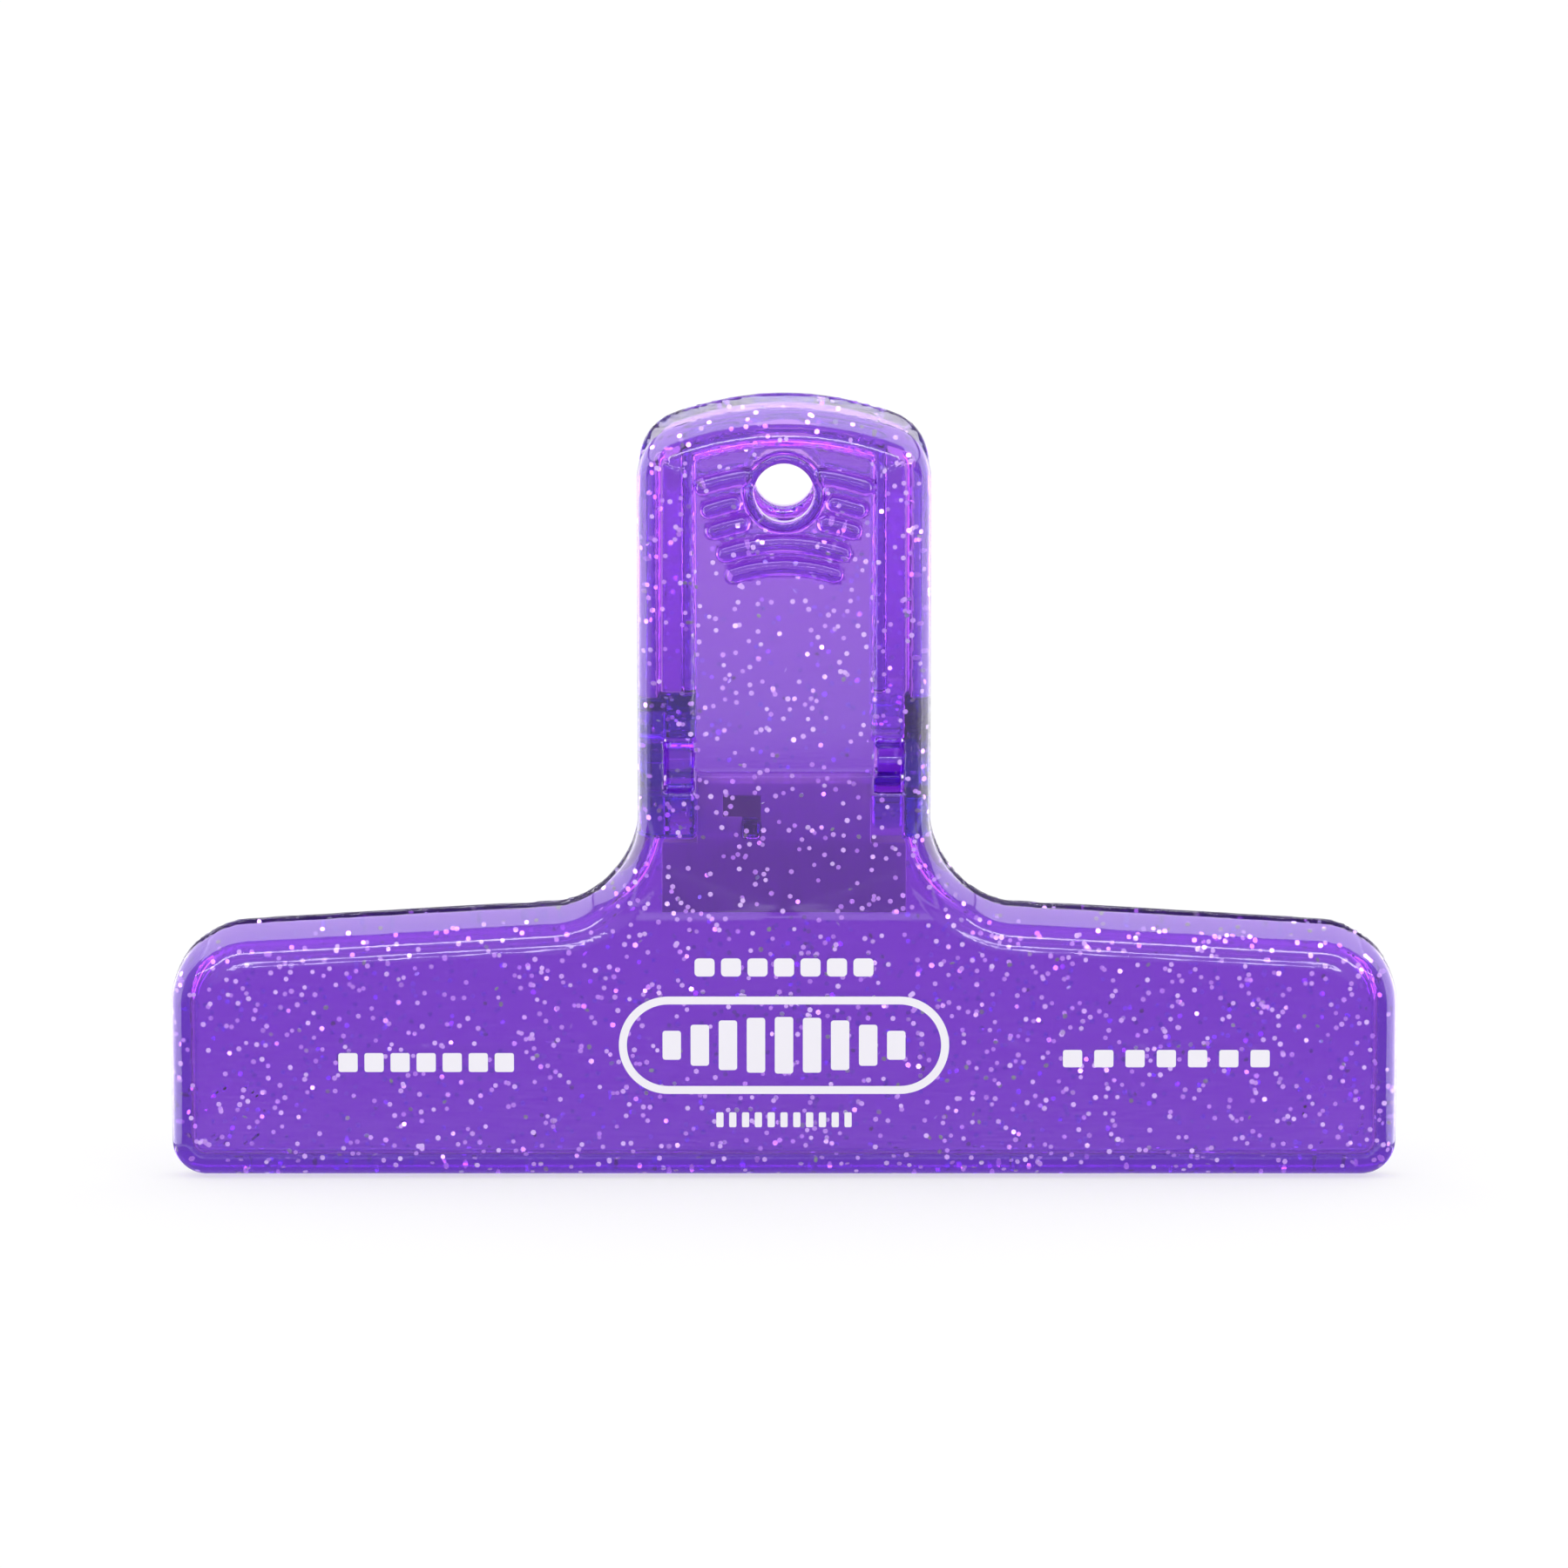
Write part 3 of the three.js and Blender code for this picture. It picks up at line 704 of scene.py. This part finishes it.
def make_spring(material):
    """The leaf spring, bent from a strip with wide feet and a punched slot in each arm."""
    line = spring_line()
    half_foot, half_bend = SPRING_FOOT_WIDTH / 2, SPRING_BEND_WIDTH / 2
    marks = {-half_foot, -half_bend, half_bend, half_foot}
    for low_x, high_x in (SLOT_WIDE[0], SLOT_NARROW[0]):
        marks |= {low_x, high_x, -low_x, -high_x}
    across = sorted(marks)
    points = [(x, y, z) for y, z in line for x in across]
    faces = []
    for row in range(len(line) - 1):
        y, z = (np.array(line[row]) + np.array(line[row + 1])) / 2
        for column in range(len(across) - 1):
            x = (across[column] + across[column + 1]) / 2
            if abs(x) > half_bend and z > SPRING_SHOULDER_Z or in_slot(x, y, z):
                continue
            a = row * len(across) + column
            b = a + len(across)
            faces.append((a, a + 1, b + 1, b))
    used = sorted({corner for face in faces for corner in face})
    place = {old: new for new, old in enumerate(used)}
    faces = [[place[corner] for corner in face] for face in faces]
    spring = new_object("leaf_spring_strip", [points[i] for i in used], faces)
    thicken = spring.modifiers.new("thickness", "SOLIDIFY")
    thicken.thickness = SPRING_THICKNESS * MM
    thicken.offset = 0
    soften = spring.modifiers.new("edges", "BEVEL")
    soften.width = 0.1 * MM
    soften.segments = 2
    soften.limit_method = "ANGLE"
    spring.data.materials.append(material)
    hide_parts("leaf_spring")
    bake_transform(spring)
    return spring


# ------------------------------------------------------------ print


def rounded_rectangle(x, z, half_width, half_height, radius, steps=8):
    """Outline points of a rounded rectangle, anticlockwise."""
    points = []
    for turn, (side_x, side_z) in enumerate(((1, 1), (-1, 1), (-1, -1), (1, -1))):
        centre = (x + side_x * (half_width - radius), z + side_z * (half_height - radius))
        for step in range(steps + 1):
            angle = math.pi / 2 * (turn + step / steps)
            arc = (radius * math.cos(angle), radius * math.sin(angle))
            points.append((centre[0] + arc[0], centre[1] + arc[1]))
    return points


def print_shapes():
    """The generic print: filled outlines, and a ring given as an outer and an inner outline."""
    ring = []
    for inset in (0, PILL_LINE):
        half_width, half_height = PILL_HALF_WIDTH - inset, PILL_HALF_HEIGHT - inset
        ring.append(rounded_rectangle(0, PILL_Z, half_width, half_height, half_height - 0.01, 20))
    shapes = []
    for index in range(-4, 5):
        half_height = PILL_BAR_HALF_HEIGHT - PILL_BAR_FALL * index**2
        shapes.append(rounded_rectangle(index * PILL_BAR_PITCH, PILL_Z, 1.15, half_height, 0.35))
    for middle_x, height, marks, pitch, half_width, half_height, corner in PRINT_ROWS:
        for index in range(marks):
            x = middle_x + (index - (marks - 1) / 2) * pitch
            shapes.append(rounded_rectangle(x, height, half_width, half_height, corner))
    return shapes, ring


def make_print(material):
    """White ink on the front jaw's face, a thin film with its own thickness."""
    points, faces = [], []

    def add_wall(first, count, reverse):
        for i in range(count):
            j = (i + 1) % count
            quad = [first + i, first + j, first + count + j, first + count + i]
            faces.append(quad[::-1] if reverse else quad)

    def add_points(outline):
        first = len(points)
        for level in PRINT_LEVELS:
            points.extend((x, level, z) for x, z in outline)
        return first

    shapes, (outer, inner) = print_shapes()
    for outline in shapes:
        count = len(outline)
        first = add_points(outline)
        add_wall(first, count, False)
        faces.append([first + i for i in range(count - 1, -1, -1)])
        faces.append([first + count + i for i in range(count)])
    count = len(outer)
    outer_first = add_points(outer)
    inner_first = add_points(inner)
    add_wall(outer_first, count, False)
    add_wall(inner_first, count, True)
    for i in range(count):
        j = (i + 1) % count
        a, b, c, d = outer_first + i, outer_first + j, inner_first + j, inner_first + i
        faces.append([d, c, b, a])
        faces.append([a + count, b + count, c + count, d + count])

    up = np.array((0, -math.sin(JAW_LEAN), math.cos(JAW_LEAN)))
    out = np.array((0, -math.cos(JAW_LEAN), -math.sin(JAW_LEAN)))
    placed = [np.array((x, CREASE_Y, CREASE_Z)) + up * (z - CREASE_Z) + out * level
              for x, level, z in points]
    mesh = bpy.data.meshes.new("front_jaw_print")
    mesh.from_pydata((np.array(placed) * MM).tolist(), [], faces)
    ink = bpy.data.objects.new("front_jaw_print", mesh)
    bpy.context.scene.collection.objects.link(ink)
    ink.data.materials.append(material)
    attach(ink, "front_half")


# ------------------------------------------------------------ studio


def make_world():
    """White surroundings, even above the horizon and in bands below it."""
    world = bpy.data.worlds.new("studio")
    bpy.context.scene.world = world
    world.use_nodes = True
    tree = world.node_tree
    background = tree.nodes["Background"]
    background.inputs["Color"].default_value = (1, 1, 1, 1)
    direction = tree.nodes.new("ShaderNodeTexCoord")
    split = tree.nodes.new("ShaderNodeSeparateXYZ")
    tree.links.new(direction.outputs["Generated"], split.inputs["Vector"])
    light = background.inputs["Strength"]
    for step in WORLD_STEPS:
        span = tree.nodes.new("ShaderNodeMapRange")
        for name, value in zip(("From Min", "From Max", "To Min", "To Max"), step):
            span.inputs[name].default_value = value
        tree.links.new(split.outputs["Z"], span.inputs["Value"])
        total = tree.nodes.new("ShaderNodeMath")
        total.inputs[1].default_value = 0.0
        tree.links.new(span.outputs["Result"], total.inputs[0])
        tree.links.new(total.outputs["Value"], light)
        light = total.inputs[1]


def make_floor():
    """A wide plain white floor that glows a little and doesn't mirror in the plastic."""
    corners = [(x * FLOOR_REACH, y * FLOOR_REACH, FLOOR_Z)
               for x, y in ((-1, -1), (1, -1), (1, 1), (-1, 1))]
    mesh = bpy.data.meshes.new("floor")
    mesh.from_pydata(corners, [], [(0, 1, 2, 3)])
    floor = bpy.data.objects.new("floor", mesh)
    bpy.context.scene.collection.objects.link(floor)
    nodes = Nodes("white_floor")
    nodes.set(Base_Color=(0.4, 0.4, 0.4, 1), Roughness=0.9, Specular_IOR_Level=0.0,
              Emission_Color=(1, 1, 1, 1), Emission_Strength=0.6)
    floor.data.materials.append(nodes.material)
    floor.visible_glossy = False


def make_panel(name, place, target, size, radiance):
    """A soft panel that shows in the glossy plastic and leaves the floor evenly white."""
    data = bpy.data.lights.new(name, "AREA")
    data.shape = "RECTANGLE"
    data.size, data.size_y = size
    data.energy = radiance * math.pi * size[0] * size[1]
    panel = bpy.data.objects.new(name, data)
    panel.location = place
    aim = Vector(target) - Vector(place)
    panel.rotation_euler = aim.to_track_quat("-Z", "Y").to_euler()
    panel.visible_camera = False
    panel.visible_diffuse = False
    bpy.context.scene.collection.objects.link(panel)
    return panel


def leave_unlit(piece, panels):
    """Keeps panels from shining on one piece."""
    for panel in panels:
        left_out = bpy.data.collections.new(panel.name + "_leaves_out")
        left_out.objects.link(piece)
        panel.light_linking.receiver_collection = left_out
        left_out.collection_objects[0].light_linking.link_state = "EXCLUDE"


def make_camera():
    """A long lens a little above the clip's middle."""
    data = bpy.data.cameras.new("camera")
    data.lens = CAMERA_LENS
    data.sensor_width = CAMERA_SENSOR
    data.clip_end = 50
    camera = bpy.data.objects.new("camera", data)
    bpy.context.scene.collection.objects.link(camera)
    bpy.context.scene.camera = camera
    distance = JAW_WIDTH * MM / JAW_SHARE * CAMERA_LENS / CAMERA_SENSOR
    away = Vector((0, -math.cos(CAMERA_RISE), math.sin(CAMERA_RISE)))
    camera.location = CAMERA_AIM + distance * away
    camera.rotation_euler = (math.pi / 2 - CAMERA_RISE, 0, 0)


purple = clear_purple()
silver = silver_flake()
make_camera()
make_world()
make_floor()
top_panel = make_panel(*TOP_PANEL)
for side_panel in SIDE_PANELS:
    make_panel(*side_panel)
front_strip = make_panel(*FRONT_STRIP)
make_jaws(purple)
make_glitter("front", 11, silver)
make_glitter("rear", 23, silver)
spring = make_spring(spring_steel())
leave_unlit(spring, (top_panel, front_strip))
make_print(white_ink())

bpy.context.scene.view_settings.view_transform = "Standard"
